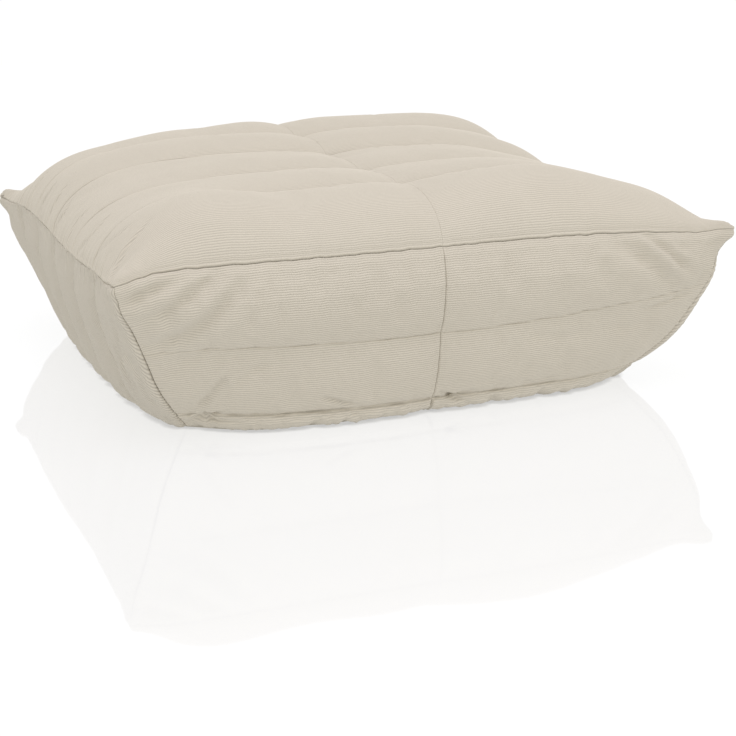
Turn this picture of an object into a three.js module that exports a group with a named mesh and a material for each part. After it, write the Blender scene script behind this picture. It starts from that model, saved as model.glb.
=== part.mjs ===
// A low square footstool: one filled cushion with a crowned top, four sides that taper in to a smaller
// flat base, and blunt ears drawn out at the corners. Five quilting lines cross the top from left to
// right and run on down the left and right sides. The front and back have two level lines each, and a
// seam down the middle splits the front, the top and the back in two.
import * as THREE from "three";
import { ParametricGeometry } from "three/addons/geometries/ParametricGeometry.js";
import { mergeGeometries, mergeVertices } from "three/addons/utils/BufferGeometryUtils.js";

// Sizes are in millimetres: +X right, -Y front, +Z up, with the origin under the middle of the base.
// A place on the top is (u, v): u from -1 at the left edge to 1, v from -1 at the front edge to 1.
// A place on a side is (s, share): s from -1 to 1 along its edge, share of the edge's height, 1 to 0.

// The top edge of the sides, halfway between two ears.
const EDGE_MIDDLE = { x: 394, y: 387 };

// The four ears. reach: both plan coordinates of the tip. edgeZ: height of the edge beside the ear.
// tipLift: how far the tip itself turns up. fatness: how much fuller the corner is below its tip.
// pinch: how far it is drawn in just under the tip. midLine, lowLine: shares of the height at which
// the sides' two level rows meet the corner.
const CORNERS = {
  frontLeft: { reach: 398, edgeZ: 209, tipLift: -9, fatness: 0, pinch: 0, midLine: 0.56, lowLine: 0.12 },
  frontRight: { reach: 406, edgeZ: 206, tipLift: 13, fatness: 15, pinch: 5, midLine: 0.66, lowLine: 0.11 },
  backLeft: { reach: 406, edgeZ: 188, tipLift: 5, fatness: 8, pinch: 6, midLine: 0.62, lowLine: 0.13 },
  backRight: { reach: 406, edgeZ: 200, tipLift: 4, fatness: 10, pinch: 7, midLine: 0.62, lowLine: 0.13 },
};
const PINCH = { share: 0.86, width: 0.09 };

// The four sides and the corners at their ends. rise: how far the edge rises between its ears.
// sway: how far it rises towards its second end and dips towards its first. squareness: how far the
// side keeps its reach towards its corners. midLine, lowLine: shares of the height at the middle.
const SIDES = {
  front: { ends: ["frontLeft", "frontRight"], rise: 8, sway: 3, squareness: 3, midLine: 0.51, lowLine: 0.1 },
  right: { ends: ["frontRight", "backRight"], rise: 4, sway: 4, squareness: 5, midLine: 0.5, lowLine: 0.12 },
  back: { ends: ["backLeft", "backRight"], rise: 4, sway: 3, squareness: 3.5, midLine: 0.5, lowLine: 0.12 },
  left: { ends: ["frontLeft", "backLeft"], rise: -3, sway: 10, squareness: 3, midLine: 0.5, lowLine: 0.12 },
};

// Reach from the middle, down the corners, down the middle of the front and back, and down the
// middle of the left and right sides.
const REACH = [
  { share: 1.0, corner: 402, frontBack: 387, leftRight: 394 },
  { share: 0.96, corner: 399, frontBack: 393, leftRight: 396 },
  { share: 0.88, corner: 393, frontBack: 399, leftRight: 398 },
  { share: 0.8, corner: 386, frontBack: 402, leftRight: 399 },
  { share: 0.69, corner: 375.5, frontBack: 401, leftRight: 396 },
  { share: 0.59, corner: 366, frontBack: 398, leftRight: 391 },
  { share: 0.49, corner: 357, frontBack: 392, leftRight: 385 },
  { share: 0.37, corner: 347, frontBack: 387, leftRight: 378 },
  { share: 0.27, corner: 336.5, frontBack: 382, leftRight: 372 },
  { share: 0.15, corner: 321, frontBack: 373, leftRight: 363 },
  { share: 0.06, corner: 308, frontBack: 359, leftRight: 350 },
  { share: 0.0, corner: 299, frontBack: 337, leftRight: 334 },
];

// How far the foot of the front stands out beyond its reach, at places s along it.
const FOOT = [
  { s: -1, out: 0 },
  { s: -0.8, out: 20 },
  { s: -0.5, out: 18 },
  { s: -0.2, out: 12 },
  { s: 0, out: 3 },
  { s: 0.5, out: 0 },
  { s: 0.7, out: 11 },
  { s: 1, out: 0 },
];

// Height of the crown over its edge, a row for each quilted band from the front to the back.
const CROWN_COLUMNS = [
  { u: -0.75, name: "leftFlank" },
  { u: -0.4, name: "left" },
  { u: -0.05, name: "middle" },
  { u: 0.4, name: "right" },
  { u: 0.8, name: "rightFlank" },
];
const CROWN = [
  { leftFlank: 97, left: 76, middle: 84, right: 96, rightFlank: 74 },
  { leftFlank: 80, left: 82, middle: 84, right: 87, rightFlank: 72 },
  { leftFlank: 84, left: 94, middle: 93, right: 92, rightFlank: 73 },
  { leftFlank: 104, left: 111, middle: 113, right: 111, rightFlank: 96 },
  { leftFlank: 101, left: 111, middle: 124, right: 119, rightFlank: 121 },
  { leftFlank: 76, left: 112, middle: 121, right: 122, rightFlank: 116 },
];
const SHOULDER = { uPower: 6.3, uRound: 0.63, vPower: 6.6, vRound: 0.56 };

const BANDS = CROWN.length;
const TOP_GROOVE = 12;
const SIDE_GROOVE = 7;
const LEVEL_GROOVE = 5;
const GROOVE_ROUND = 2.2;
const SEAM_VALLEY = { front: 8, back: 12, width: 0.1, sharpness: 1.3 };
const SIDE_SEAM = { depth: 4, width: 0.07 };
const EAR = { lift: 10, from: 0.95, to: 0.99, power: 60 };

// Mesh steps: across the footstool, along each band, and down each of a side's three rows. Within
// END_ACROSS of the left and right edges, and in the outermost bands, they get closer to the edge.
const ACROSS = 40;
const PER_BAND = 5;
const ROWS = 3;
const PER_ROW = 4;
const END_ACROSS = 0.2;
const END_CLOSENESS = 1.7;

const COLOUR = 0xd6ccbf;

const { lerp, smoothstep } = THREE.MathUtils;

// A corner's value blended over the top's (u, v).
function cornerBlend(key, u, v) {
  const front = lerp(CORNERS.frontLeft[key], CORNERS.frontRight[key], (u + 1) / 2);
  const back = lerp(CORNERS.backLeft[key], CORNERS.backRight[key], (u + 1) / 2);
  return lerp(front, back, (v + 1) / 2);
}

// A place from -1 to 1, moved closer to its end where it is less than a stretch from it.
function closerToEnd(place, stretch) {
  const left = (1 - Math.abs(place)) / stretch;
  return left < 1 ? Math.sign(place) * (1 - stretch * left ** END_CLOSENESS) : place;
}

const placeAcross = (share) => closerToEnd(2 * share - 1, END_ACROSS);
const placeAlong = (share) => closerToEnd(2 * share - 1, 2 / BANDS);

// How much of an ear is drawn out at a share of the way to it.
function earGrowth(s) {
  return 0.5 * Math.abs(s) ** 6 + 0.5 * Math.abs(s) ** 20;
}

function edgeHeight(u, v) {
  const tip = smoothstep(Math.abs(u), 0.86, 1) * smoothstep(Math.abs(v), 0.86, 1);
  const frontBack = (key) => lerp(SIDES.front[key], SIDES.back[key], (v + 1) / 2);
  const leftRight = (key) => lerp(SIDES.left[key], SIDES.right[key], (u + 1) / 2);
  return (
    cornerBlend("edgeZ", u, v) +
    cornerBlend("tipLift", u, v) * tip +
    (frontBack("rise") * (1 - u ** 4) + frontBack("sway") * Math.sin(Math.PI * u)) * v * v +
    (leftRight("rise") * (1 - v ** 4) + leftRight("sway") * Math.sin(Math.PI * v)) * u * u
  );
}

// 1 on a line, falling to 0 at half a band from it; position counts bands.
function grooveAt(position, firstLine, lastLine) {
  const line = THREE.MathUtils.clamp(Math.round(position), firstLine, lastLine);
  const away = Math.min(1, 2 * Math.abs(position - line));
  return 1 - Math.sqrt(1 - (1 - away) ** GROOVE_ROUND);
}

// The five lines across the top, which run on down the left and right sides.
function bandGroove(v) {
  return grooveAt(((v + 1) / 2) * BANDS, 1, BANDS - 1);
}

function crownHeight(u, v) {
  const last = CROWN_COLUMNS.length - 2;
  const right = CROWN_COLUMNS.findIndex((column) => column.u >= u);
  const column = right < 0 ? last : THREE.MathUtils.clamp(right - 1, 0, last);
  const [a, b] = [CROWN_COLUMNS[column], CROWN_COLUMNS[column + 1]];
  const across = smoothstep(u, a.u, b.u);
  const along = THREE.MathUtils.clamp(((v + 1) / 2) * BANDS - 0.5, 0, BANDS - 1);
  const row = Math.min(BANDS - 2, Math.floor(along));
  const inFront = lerp(CROWN[row][a.name], CROWN[row][b.name], across);
  const behind = lerp(CROWN[row + 1][a.name], CROWN[row + 1][b.name], across);
  return lerp(inFront, behind, smoothstep(along - row, 0, 1));
}

function topPoint(u, v, target) {
  const reach = cornerBlend("reach", u, v);
  const x = u * lerp(EDGE_MIDDLE.x, reach, earGrowth(v));
  const y = v * lerp(EDGE_MIDDLE.y, reach, earGrowth(u));
  const shoulder =
    Math.max(0, 1 - Math.abs(u) ** SHOULDER.uPower) ** SHOULDER.uRound *
    Math.max(0, 1 - Math.abs(v) ** SHOULDER.vPower) ** SHOULDER.vRound;
  const valleyDepth = lerp(SEAM_VALLEY.front, SEAM_VALLEY.back, smoothstep(v, -0.5, 0.4));
  const valley = valleyDepth * Math.exp(-((Math.abs(u) / SEAM_VALLEY.width) ** SEAM_VALLEY.sharpness));
  const ear =
    EAR.lift *
    Math.sqrt(Math.max(0, 1 - Math.abs(u) ** EAR.power) * Math.max(0, 1 - Math.abs(v) ** EAR.power)) *
    smoothstep(Math.abs(u), EAR.from, EAR.to) *
    smoothstep(Math.abs(v), EAR.from, EAR.to);
  const crown = crownHeight(u, v) - valley - TOP_GROOVE * bandGroove(v);
  target.set(x, y, edgeHeight(u, v) + shoulder * crown + ear);
}

function reachAt(share, key) {
  const below = REACH.findIndex((row) => row.share <= share);
  const row = Math.max(1, below);
  const [a, b] = [REACH[row - 1], REACH[row]];
  return lerp(b[key], a[key], (share - b.share) / (a.share - b.share));
}

function footOut(s) {
  const k = Math.max(0, FOOT.findIndex((place) => place.s >= s) - 1);
  const [a, b] = [FOOT[k], FOOT[k + 1]];
  return lerp(a.out, b.out, smoothstep(s, a.s, b.s));
}

// Share of the height at a row of a side: 0 is its edge, 1 and 2 its level lines, 3 the base.
function shareAtRow(side, s, row) {
  const corner = CORNERS[side.ends[s < 0 ? 0 : 1]];
  const shares = [1, lerp(side.midLine, corner.midLine, s * s), lerp(side.lowLine, corner.lowLine, s * s), 0];
  const above = Math.min(ROWS - 1, Math.floor(row));
  return lerp(shares[above], shares[above + 1], row - above);
}

function sidePoint(name, s, row, target) {
  const side = SIDES[name];
  const level = name === "front" || name === "back";
  const outwards = name === "front" || name === "left" ? -1 : 1;
  const [u, v] = level ? [s, outwards] : [outwards, s];
  const share = shareAtRow(side, s, row);
  const belly = Math.sin(Math.PI * share);
  const pinched = Math.exp(-(((share - PINCH.share) / PINCH.width) ** 2)) * smoothstep(1 - share, 0, 0.08);
  const corner =
    reachAt(share, "corner") +
    cornerBlend("fatness", u, v) * belly -
    cornerBlend("pinch", u, v) * pinched +
    (cornerBlend("reach", u, v) - REACH[0].corner) * share * share;
  const foot = name === "front" ? footOut(s) * (1 - share) ** 6 : 0;
  const middle = reachAt(share, level ? "frontBack" : "leftRight") + foot;
  const draw = Math.abs(s) ** lerp(side.squareness + 3, side.squareness, Math.min(1, 2 * (1 - share)));
  const towardsCorner = lerp(earGrowth(s), draw, smoothstep(1 - share, 0, 0.35));
  const full = Math.sqrt(Math.max(0, belly)) * (1 - s ** 8);
  const seam = SIDE_SEAM.depth * Math.exp(-((Math.abs(s) / SIDE_SEAM.width) ** SEAM_VALLEY.sharpness));
  const groove = level ? LEVEL_GROOVE * grooveAt(row, 1, ROWS - 1) + seam : SIDE_GROOVE * bandGroove(s);
  const out = lerp(middle, corner, towardsCorner) - groove * full;
  const along = s * corner;
  const z = edgeHeight(u, v) * share;
  if (level) target.set(along, outwards * out, z);
  else target.set(outwards * out, along, z);
}

// The steps along a side, and the place at a share of the way along it.
function stepsOf(name) {
  const level = name === "front" || name === "back";
  return level ? [ACROSS, placeAcross] : [BANDS * PER_BAND, placeAlong];
}

// A side's patch, from the base up, with its faces turned outwards.
function sideGeometry(name) {
  const leftToRight = name === "front" || name === "right" ? 1 : -1;
  const [steps, placeAt] = stepsOf(name);
  const place = (a, b, target) => sidePoint(name, leftToRight * placeAt(a), ROWS * (1 - b), target);
  return new ParametricGeometry(place, steps, ROWS * PER_ROW);
}

function topGeometry() {
  const place = (a, b, target) => topPoint(placeAcross(a), placeAlong(b), target);
  return new ParametricGeometry(place, ACROSS, BANDS * PER_BAND);
}

// The flat base: a fan from the origin to the lower edges of the sides, with its faces turned down.
function baseGeometry() {
  const outline = [];
  for (const [name, direction] of [["front", 1], ["right", 1], ["back", -1], ["left", -1]]) {
    const [steps, placeAt] = stepsOf(name);
    for (let i = 0; i < steps; i++) {
      const point = new THREE.Vector3();
      sidePoint(name, direction * placeAt(i / steps), ROWS, point);
      outline.push(point);
    }
  }
  const centre = new THREE.Vector3();
  const corners = outline.flatMap((point, i) => [centre, outline[(i + 1) % outline.length], point]);
  return new THREE.BufferGeometry().setFromPoints(corners);
}

function coverGeometry() {
  const patches = [topGeometry(), ...Object.keys(SIDES).map(sideGeometry), baseGeometry()];
  const bare = patches.map((patch) => {
    const loose = patch.index ? patch.toNonIndexed() : patch;
    return new THREE.BufferGeometry().setAttribute("position", loose.getAttribute("position"));
  });
  const closed = mergeVertices(mergeGeometries(bare), 1e-3);
  closed.computeVertexNormals();
  return closed;
}

const fabric = new THREE.MeshStandardMaterial({ color: COLOUR, roughness: 0.95, metalness: 0 });
const cushion = new THREE.Mesh(coverGeometry(), fabric);
cushion.name = "cushion";

const footstool = new THREE.Group();
footstool.add(cushion);

export default footstool;
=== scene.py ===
"""A bean bag footstool in quilted corduroy: its cloth panels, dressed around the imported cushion."""

import math
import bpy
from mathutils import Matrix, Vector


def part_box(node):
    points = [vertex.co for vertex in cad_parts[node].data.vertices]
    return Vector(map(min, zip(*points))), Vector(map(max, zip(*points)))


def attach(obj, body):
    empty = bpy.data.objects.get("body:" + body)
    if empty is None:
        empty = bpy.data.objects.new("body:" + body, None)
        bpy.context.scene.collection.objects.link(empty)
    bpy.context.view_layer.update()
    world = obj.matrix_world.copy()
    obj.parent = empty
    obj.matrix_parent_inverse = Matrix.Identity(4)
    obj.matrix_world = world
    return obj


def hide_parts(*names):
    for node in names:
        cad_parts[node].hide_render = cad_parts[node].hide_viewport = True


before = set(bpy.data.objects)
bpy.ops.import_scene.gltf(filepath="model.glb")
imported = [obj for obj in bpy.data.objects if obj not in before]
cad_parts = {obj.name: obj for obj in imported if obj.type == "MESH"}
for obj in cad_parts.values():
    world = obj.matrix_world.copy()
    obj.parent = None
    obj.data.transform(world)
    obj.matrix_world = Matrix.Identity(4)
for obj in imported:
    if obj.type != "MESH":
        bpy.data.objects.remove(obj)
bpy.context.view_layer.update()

from types import SimpleNamespace as Named

import bpy
import numpy as np
from mathutils import Vector

CUSHION_LOW, CUSHION_HIGH = (np.array(corner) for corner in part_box("cushion"))

# ==== Sizes ====
# The tables are in millimetres, and MM turns them into the frame's metres. A place on the
# top or the base is (u, v), from -1 at the left and front edges to 1. A place on a side is
# (s, share): s from -1 to 1 along it, share of the edge's height.
WIDTH = 812
HALF_WIDTH = WIDTH / 2
MM = (CUSHION_HIGH[0] - CUSHION_LOW[0]) / WIDTH
SIDE_CLOTH = 240  # from a side's hem to its edge


def table(columns, rows):
    """The rows of a table, each as a dictionary by the names of the columns."""
    return {name: dict(zip(columns, row, strict=True)) for name, row in rows.items()}


EDGE_MIDDLE = Named(x=394, y=387)
CORNERS = table(
    ("reach", "edge_z", "tip_lift", "fatness", "pinch", "toe", "nub", "mid_line", "low_line"),
    {
        "front_left": (398, 209, -7, 0, -4, 3, 9, 0.56, 0.12),
        "front_right": (406, 206, 8, 12, 6, 2, 8, 0.66, 0.11),
        "back_left": (406, 188, 5, 8, 6, 0, 15, 0.62, 0.13),
        "back_right": (406, 200, 4, 10, 7, 0, 8, 0.62, 0.13),
    },
)
SIDES = table(
    ("ends", "rise", "sway", "squareness", "mid_line", "low_line"),
    {
        "front": (("front_left", "front_right"), 8, 3, 3.0, 0.51, 0.10),
        "right": (("front_right", "back_right"), 4, 4, 5.0, 0.50, 0.12),
        "back": (("back_left", "back_right"), 4, 3, 3.5, 0.50, 0.12),
        "left": (("front_left", "back_left"), -3, 10, 3.5, 0.50, 0.12),
    },
)
# A side is squarer by this much at its edge, and less so down to half its height.
SQUARER_AT_EDGE = 3
# An ear grows out towards its tip as the mean of two powers of the way to it.
EAR_POWERS = (6, 20)
# The tips are lifted or lowered from this share of the way to them.
TIP_START = 0.86
REACH_COLUMNS = ("share", "corner", "front_back", "left_right")
REACH = np.array([
    (0.00, 299.0, 337, 334),
    (0.06, 308.0, 359, 350),
    (0.15, 321.0, 373, 363),
    (0.27, 336.5, 382, 372),
    (0.37, 347.0, 387, 378),
    (0.49, 357.0, 392, 385),
    (0.59, 366.0, 398, 391),
    (0.69, 375.5, 401, 396),
    (0.80, 386.0, 402, 399),
    (0.88, 393.0, 399, 398),
    (0.96, 399.0, 393, 396),
    (1.00, 402.0, 387, 394),
])
CROWN_U = np.array([-0.75, -0.4, -0.05, 0.4, 0.8])
CROWN = np.array([  # left flank, left, middle, right, right flank; a row for each band, from the front
    (97, 76, 84, 96, 74),
    (80, 82, 84, 87, 72),
    (84, 94, 93, 92, 73),
    (104, 111, 113, 111, 96),
    (98, 111, 124, 119, 121),
    (66, 111, 121, 122, 116),
])
BANDS = len(CROWN)
SHOULDER = Named(u_power=6.3, u_round=0.63, v_power=6.6, v_round=0.56)
TOP_GROOVE, SIDE_GROOVE, LEVEL_GROOVE = 14, 15, 5
GROOVE_ROUND, SIDE_GROOVE_ROUND = 2.2, 1.5
# The channels of the top are faint where it bends down to the left flank.
FLANK_GROOVE = Named(share=0.3, span=(-0.72, -0.42))
SEAM_VALLEY = Named(front=8, back=12, span=(-0.5, 0.4), width=0.10, sharpness=1.3)
SIDE_SEAM = Named(depth=4, width=0.07)
# The corners are pinched a little below the ears.
PINCH = Named(share=0.85, width=0.09, fade=0.08)
# The ears end in round nubs. reach: how far from the tip one fades. drop, bulge: how far its
# underside goes down, and out. neck, neck_reach: the share of the crown taken away behind it, and
# how far. depth: the share of the side's height over which the ear is drawn out.
EAR = Named(reach=23, drop=17, bulge=2.5, neck=0.41, neck_reach=55, depth=0.35)
# The sides round into their front corners between two shares of their height, low and high.
CORNER_ROUND = table(
    ("power", "amount", "low", "high", "ease"),
    {"left": (10, 0.4, 0.0, 0.98, 0.7), "right": (16, 1.0, 0.12, 0.95, 0.7)},
)
# The left edge sags a little before it reaches the front corner.
SAG = Named(depth=8, at=-0.86, width=0.12, edge=0.8)
# The top's seams ripple up and out. reach: how far from the edge. fade: how far from a corner.
# start: how high up a side.
RIPPLE = Named(lengths=(19.0, 31.0, 53.0), reach=0.03, fade=0.06, start=0.7)
RIPPLE_UP, RIPPLE_OUT = dict(height=0.8, seed=65), dict(height=0.7, seed=64)
# An uneven wave bends and swells over so many of its own lengths, and by so much.
WAVE = Named(bend=0.6, bend_lengths=7, swell=0.4, swell_lengths=9, gain=1.4)
# How fast the toe of a corner and the foot of a side fade up the side, as powers.
TOE_POWER, FOOT_POWER, BULGE_POWER = 5, 6, 8
# How far the foot of the front stands out beyond its REACH, at places along it.
FOOT_S = np.array([-1, -0.96, -0.9, -0.8, -0.5, -0.2, 0, 0.5, 0.7, 0.9, 1])
FOOT = np.array([0, 24, 35, 37, 19, 12, 3, 0, 13, 16, 0])
# The foot of the left side is drawn in a little towards its front end.
LEFT_FOOT = Named(depth=5, at=-0.45, width=0.3)

# The corduroy: ribs this far apart and this high, drawn with this many rows of points each.
RIB_PITCH, RIB_HEIGHT = 2.85, 0.62
RIB_ROWS = 4
RIB_SHAPE = np.array([0.0, 0.78, 1.0, 0.78])
RIB_AT_HEM, RIB_MEAN = 0.4, 0.7
# Seams: the gap between a panel and the seam's line, and how deep its edge is tucked in.
SEAM_GAP, CORNER_GAP, TUCKS = 0.06, 0.28, (2.5, 6.0)
EDGE_STEPS = np.array([0.0, 0.4, 0.9, 1.7, 2.7, 3.9, 5.2, 7.5])
PADDING = 9.0

# ==== The settled shape, by formula ====
def lerp(a, b, t):
    return a + (b - a) * t


def smoothstep(x, low, high):
    t = np.clip((x - low) / (high - low), 0, 1)
    return t * t * (3 - 2 * t)


def crease(away, width):
    """1 on a line, falling off to both sides of it."""
    return np.exp(-((away / width) ** 2))


def corner_blend(key, u, v):
    front = lerp(CORNERS["front_left"][key], CORNERS["front_right"][key], (u + 1) / 2)
    back = lerp(CORNERS["back_left"][key], CORNERS["back_right"][key], (u + 1) / 2)
    return lerp(front, back, (v + 1) / 2)


def front_to_back(key, v):
    return lerp(SIDES["front"][key], SIDES["back"][key], (v + 1) / 2)


def left_to_right(key, u):
    return lerp(SIDES["left"][key], SIDES["right"][key], (u + 1) / 2)


def ear_growth(s):
    """How much of an ear is drawn out at a share of the way to it."""
    soon, late = EAR_POWERS
    return 0.5 * np.abs(s) ** soon + 0.5 * np.abs(s) ** late


def wave(place, seed, swells):
    """An uneven wave of about unit height along a line; place and swells are in millimetres."""
    random = np.random.default_rng(seed)
    total = 0
    for length in swells:
        phase, bend_phase, swell_phase = random.uniform(0, 2 * np.pi, 3)
        bend = np.sin(place / (WAVE.bend_lengths * length) * 2 * np.pi + bend_phase)
        swell = np.sin(place / (WAVE.swell_lengths * length) * 2 * np.pi + swell_phase)
        height = 1 - WAVE.swell + WAVE.swell * swell
        total = total + np.sin(place / length * 2 * np.pi + phase + WAVE.bend * bend) * height
    return total / len(swells) * WAVE.gain


def ripple(u, v, way):
    """How far the seams round the top ripple up or out, and the cloth beside them with them."""
    total = 0
    for number, (across, along) in enumerate([(u, v), (-u, v), (v, u), (-v, u)]):
        near = np.exp(-(1 - across) / RIPPLE.reach) * smoothstep(1 - np.abs(along), 0, RIPPLE.fade)
        total = total + near * wave(along * EDGE_MIDDLE.x, way["seed"] + 10 * number, RIPPLE.lengths)
    return way["height"] * total


def edge_height(u, v):
    tip = smoothstep(np.abs(u), TIP_START, 1) * smoothstep(np.abs(v), TIP_START, 1)
    sag = SAG.depth * crease(v - SAG.at, SAG.width) * smoothstep(-u, SAG.edge, 1)
    return (
        corner_blend("edge_z", u, v)
        + corner_blend("tip_lift", u, v) * tip
        + front_to_back("rise", v) * (1 - u**4) * v**2
        + left_to_right("rise", u) * (1 - v**4) * u**2
        + front_to_back("sway", v) * np.sin(np.pi * u) * v**2
        + left_to_right("sway", u) * np.sin(np.pi * v) * u**2
        - sag
        + ripple(u, v, RIPPLE_UP)
    )


def eased(place, places, values):
    """A value between those given at some places, level at each of them."""
    k = np.clip(np.searchsorted(places, place) - 1, 0, len(places) - 2)
    return lerp(values[k], values[k + 1], smoothstep(place, places[k], places[k + 1]))


def groove_at(position, first, last, rounding=GROOVE_ROUND):
    """1 on a line, falling to 0 at half a band from it; position counts bands."""
    away = np.minimum(1, 2 * np.abs(position - np.clip(np.round(position), first, last)))
    return 1 - np.sqrt(1 - (1 - away) ** rounding)


def band_groove(v, rounding=GROOVE_ROUND):
    return groove_at((v + 1) / 2 * BANDS, 1, BANDS - 1, rounding)


def crown_height(u, v):
    column = np.clip(np.searchsorted(CROWN_U, u) - 1, 0, len(CROWN_U) - 2)
    across = smoothstep(u, CROWN_U[column], CROWN_U[column + 1])
    along = np.clip((v + 1) / 2 * BANDS - 0.5, 0, BANDS - 1)
    row = np.minimum(BANDS - 2, np.floor(along).astype(int))
    in_front = lerp(CROWN[row, column], CROWN[row, column + 1], across)
    behind = lerp(CROWN[row + 1, column], CROWN[row + 1, column + 1], across)
    return lerp(in_front, behind, smoothstep(along - row, 0, 1))


def top_surface(u, v):
    reach = corner_blend("reach", u, v)
    sway = ripple(u, v, RIPPLE_OUT)
    x = u * (lerp(EDGE_MIDDLE.x, reach, ear_growth(v)) + sway * (np.abs(u) > np.abs(v)))
    y = v * (lerp(EDGE_MIDDLE.y, reach, ear_growth(u)) + sway * (np.abs(v) >= np.abs(u)))
    shoulder = (
        np.clip(1 - np.abs(u) ** SHOULDER.u_power, 0, 1) ** SHOULDER.u_round
        * np.clip(1 - np.abs(v) ** SHOULDER.v_power, 0, 1) ** SHOULDER.v_round
    )
    towards_back = smoothstep(v, *SEAM_VALLEY.span)
    depth = lerp(SEAM_VALLEY.front, SEAM_VALLEY.back, towards_back)
    valley = depth * np.exp(-((np.abs(u) / SEAM_VALLEY.width) ** SEAM_VALLEY.sharpness))
    from_side, from_front = (1 - np.abs(u)) * reach, (1 - np.abs(v)) * reach
    from_tip = from_side**2 + from_front**2
    radius = corner_blend("nub", u, v)
    short = np.clip(1 - np.minimum(from_side, from_front) / radius, 0, 1)
    nub = radius * np.sqrt(1 - short**2) * np.exp(-from_tip / EAR.reach ** 2)
    shoulder = shoulder * (1 - EAR.neck * np.exp(-from_tip / EAR.neck_reach ** 2))
    groove = lerp(FLANK_GROOVE.share, 1, smoothstep(u, *FLANK_GROOVE.span))
    crown = crown_height(u, v) - valley - TOP_GROOVE * groove * band_groove(v)
    z = edge_height(u, v) + shoulder * crown + nub
    return np.stack([x, y, z], -1) * MM


def level_lines(side, s):
    """Shares of the height of a side's two level lines."""
    low_end, high_end = (CORNERS[name] for name in side["ends"])
    lines = []
    for key in ("mid_line", "low_line"):
        corner = np.where(s < 0, low_end[key], high_end[key])
        lines.append(lerp(side[key], corner, s**2))
    return lines


def share_at_row(side, s, row):
    """0 is a side's edge, 1 and 2 its level lines, 3 the base."""
    mid, low = level_lines(side, s)
    upper = [lerp(1, mid, row), lerp(mid, low, row - 1)]
    return np.select([row < 1, row < 2], upper, lerp(low, 0, row - 2))


def row_at_share(side, s, share):
    mid, low = level_lines(side, s)
    upper = [(1 - share) / (1 - mid), 1 + (mid - share) / (mid - low)]
    return np.select([share > mid, share > low], upper, 2 + (low - share) / low)


def reach_at(share, key):
    return np.interp(share, REACH[:, 0], REACH[:, REACH_COLUMNS.index(key)])


def left_foot(s):
    return LEFT_FOOT.depth * crease(s - LEFT_FOOT.at, LEFT_FOOT.width) * (1 - s**BULGE_POWER)


def side_surface(name, s, share):
    side = SIDES[name]
    level = name in ("front", "back")
    outwards = -1 if name in ("front", "left") else 1
    place = np.full_like(s, outwards)
    u, v = (s, place) if level else (place, s)
    belly = np.sin(np.pi * share)
    below = np.clip((1 - share) * edge_height(u, v) / EAR.drop, 0, 1)
    pinched = crease(share - PINCH.share, PINCH.width) * smoothstep(1 - share, 0, PINCH.fade)
    corner = (
        reach_at(share, "corner")
        + corner_blend("fatness", u, v) * belly
        - corner_blend("pinch", u, v) * pinched
        + (corner_blend("reach", u, v) - REACH[-1, 1]) * share**2
        - corner_blend("toe", u, v) * (1 - share) ** TOE_POWER
        + EAR.bulge * np.sin(np.pi * below)
    )
    middle = reach_at(share, "front_back" if level else "left_right")
    if name == "front":
        middle = middle + eased(s, FOOT_S, FOOT) * (1 - share) ** FOOT_POWER
    if name == "left":
        middle = middle - left_foot(s) * (1 - share) ** FOOT_POWER
    at_edge = side["squareness"] + SQUARER_AT_EDGE
    squareness = lerp(at_edge, side["squareness"], np.minimum(1, 2 * (1 - share)))
    draw = np.abs(s) ** squareness
    if name in CORNER_ROUND:
        bend = CORNER_ROUND[name]
        share_on = np.clip((share - bend["low"]) / (bend["high"] - bend["low"]), 0, 1)
        rounded = np.where(s < 0, bend["amount"] * np.sin(np.pi * share_on) ** bend["ease"], 0)
        draw = lerp(draw, 1 - np.sqrt(1 - np.abs(s) ** bend["power"]), rounded)
    towards_corner = lerp(ear_growth(s), draw, smoothstep(1 - share, 0, EAR.depth))
    full = np.sqrt(np.clip(belly, 0, 1)) * (1 - s**BULGE_POWER)
    if level:
        seam = np.exp(-((np.abs(s) / SIDE_SEAM.width) ** SEAM_VALLEY.sharpness))
        groove = LEVEL_GROOVE * groove_at(row_at_share(side, s, share), 1, 2) + SIDE_SEAM.depth * seam
    else:
        groove = SIDE_GROOVE * band_groove(s, SIDE_GROOVE_ROUND)
    sway = ripple(u, v, RIPPLE_OUT) * smoothstep(share, RIPPLE.start, 1)
    out = outwards * (lerp(middle, corner, towards_corner) - groove * full + sway)
    along = s * corner
    z = edge_height(u, v) * share
    return np.stack([along, out, z] if level else [out, along, z], -1) * MM


def base_surface(u, v):
    corner = REACH[0, 1] - corner_blend("toe", u, v)
    middle_y = REACH[0, REACH_COLUMNS.index("front_back")]
    middle_x = REACH[0, REACH_COLUMNS.index("left_right")]
    drawn_in = left_foot(v) * smoothstep(-u, 0, 1)
    x = u * lerp(middle_x - drawn_in, corner, np.abs(v) ** left_to_right("squareness", u))
    foot = eased(u, FOOT_S, FOOT) * smoothstep(-v, 0, 1)
    y = v * lerp(middle_y + foot, corner, np.abs(u) ** front_to_back("squareness", v))
    return np.stack([x, y, np.zeros_like(x)], -1) * MM


SURFACES = {"top": top_surface, "base": base_surface}
for side_name in SIDES:
    SURFACES[side_name] = lambda s, share, name=side_name: side_surface(name, s, share)

# ==== The simulation: the cover as one cloth, held along its sewn lines, pushed out by its filling ====
CLOTH_ACROSS, CLOTH_PER_ROW = 132, 12
CLOTH_FRAMES = 20
CLOTH_SETTINGS = dict(
    quality=6, mass=0.25, tension_stiffness=18, compression_stiffness=18, shear_stiffness=6,
    bending_stiffness=6.0, use_pressure=True, uniform_pressure_force=6.0, shrink_min=-0.008,
)
# How near points of two patches are to be sewn into one, in metres, and how near to a sewn line a
# point is on it, as a share of the way between two lines.
SAME_PLACE, ON_LINE = 1e-5, 1e-6
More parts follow.
